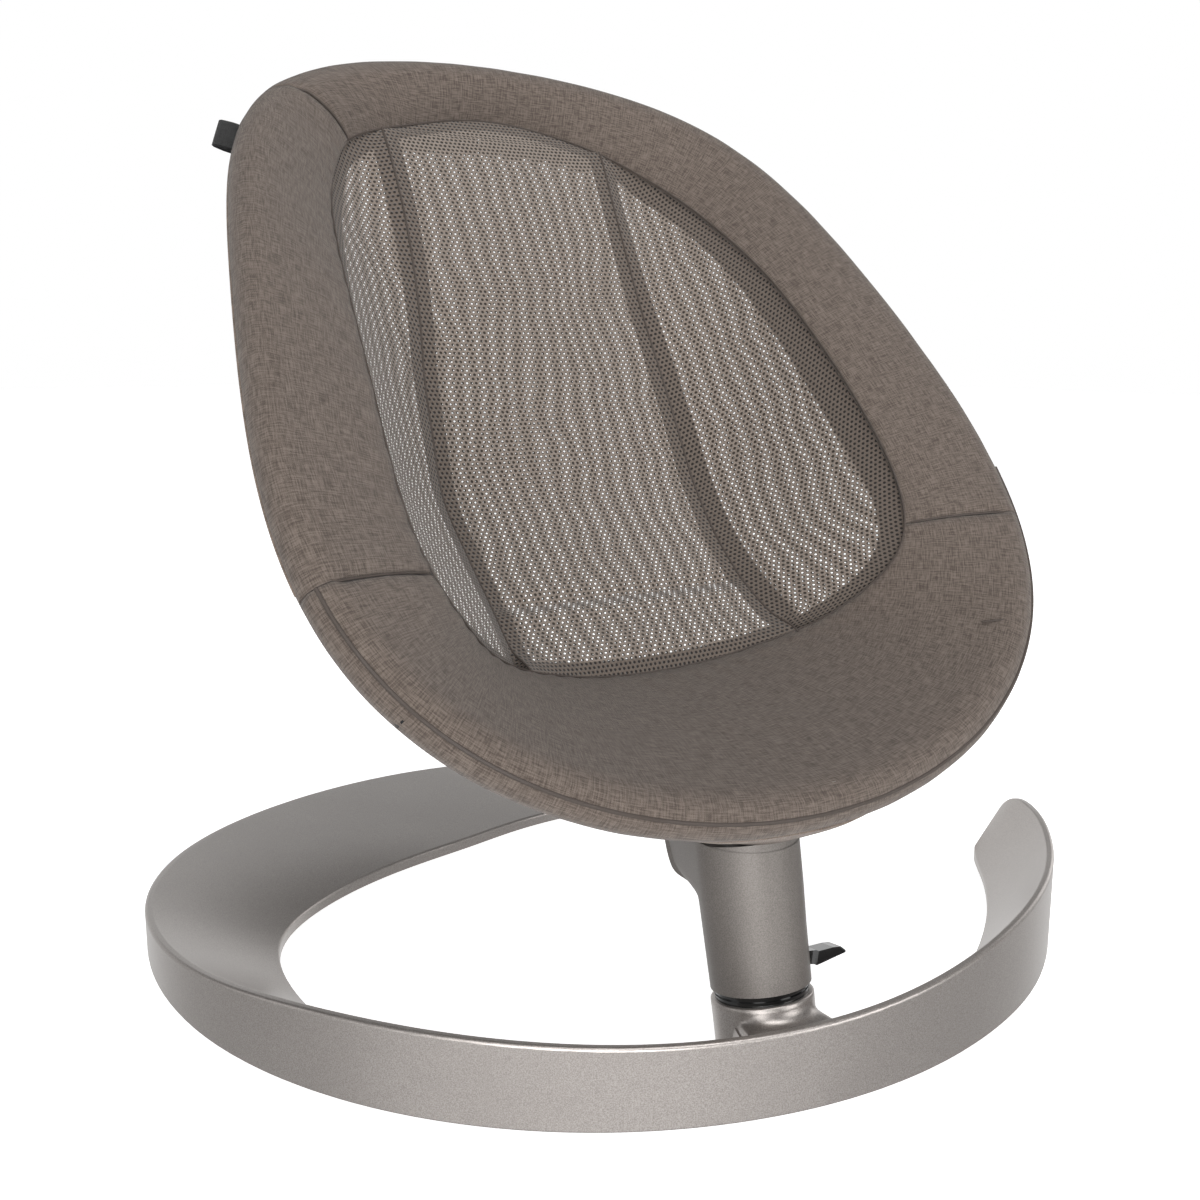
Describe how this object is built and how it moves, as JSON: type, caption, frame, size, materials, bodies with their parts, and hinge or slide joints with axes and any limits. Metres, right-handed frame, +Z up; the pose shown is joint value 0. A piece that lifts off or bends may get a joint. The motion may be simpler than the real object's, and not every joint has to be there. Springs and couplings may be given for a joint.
{
  "type": "bouncer seat",
  "caption": "Baby bouncer seat: an egg-shaped reclined hoop with a padded fabric border and mesh sling, on a short leaning post and an open swirl-shaped cast base.",
  "frame": {"origin": "on the floor, straight below the centre of the swivel gap between the base and the column", "axes": "+Z up; the seat faces -Y at rest, with its head end towards +Y; +X is towards the sitter's left hand side"},
  "size_m": [0.6346, 0.6232, 0.6034],
  "materials": {
    "cast_metal": "satin",
    "steel": "satin",
    "black_plastic": "gloss",
    "bush_plastic": "matte",
    "rubber": "matte",
    "hoop_tube": "satin",
    "cover_fabric": "matte",
    "mesh_fabric": "matte",
    "label_tape": "matte",
    "zip_fabric": "matte",
    "zip_metal": "satin"
  },
  "bodies": {
    "base": {"base_ring": "cast_metal", "floor_pads": "rubber", "boss_pad": "rubber", "spindle": "steel", "spindle_washer": "steel", "spindle_nut": "steel", "swivel_ring": "black_plastic", "lock_plate": "steel", "retaining_ring": "steel"},
    "column": {"column": "cast_metal", "lower_bush": "bush_plastic", "upper_bush": "bush_plastic", "sway_stop_pin": "steel", "plunger_guide": "bush_plastic", "recline_pin": "steel", "lock_lever_pin": "steel"},
    "lock_lever": {"lock_lever": "black_plastic"},
    "lock_plunger": {"lock_plunger": "steel"},
    "recline_latch": {"latch_bar": "steel", "latch_knob": "black_plastic", "latch_spring": "steel"},
    "seat": {"seat_carrier": "black_plastic", "pivot_bushes": "bush_plastic", "seat_hoop": "hoop_tube", "cross_tube": "hoop_tube", "hoop_collars": "black_plastic", "hoop_screws": "steel", "cross_tube_screws": "steel", "cover_head_right": "cover_fabric", "cover_left": "cover_fabric", "cover_foot": "cover_fabric", "mesh_centre": "mesh_fabric", "mesh_side_left": "mesh_fabric", "mesh_side_right": "mesh_fabric", "rear_skirt_right": "cover_fabric", "rear_skirt_left": "cover_fabric", "under_cover": "cover_fabric", "foot_piping": "cover_fabric", "blank_label": "label_tape", "zip_tape": "zip_fabric", "zip_slider": "zip_metal"}
  },
  "joints": [
    {"name": "sway", "type": "hinge", "parent": "base", "child": "column", "pos_m": [0, 0, 0.044], "axis": [0, 0.2079, 0.9781], "range_deg": [-28, 28]},
    {"name": "recline", "type": "hinge", "parent": "column", "child": "seat", "pos_m": [0, 0.034, 0.149], "axis": [-1, 0, 0], "range_deg": [0, 16]},
    {"name": "lock_lever", "type": "hinge", "parent": "column", "child": "lock_lever", "pos_m": [0.02525, -0.00098, 0.05648], "axis": [0.1392, 0.9686, -0.2059], "range_deg": [0, 18]},
    {"name": "lock_plunger", "type": "slide", "parent": "column", "child": "lock_plunger", "axis": [0, 0.2079, 0.9781], "range_m": [0, 0.0028]},
    {"name": "recline_latch", "type": "slide", "parent": "column", "child": "recline_latch", "axis": [0, 1, 0], "range_m": [0, 0.006], "stiffness_N_per_m": 300, "springref_m": -0.008}
  ],
  "couplings": [
    {"joint": "lock_plunger", "follows": "lock_lever", "m_per_rad": 0.0085}
  ]
}
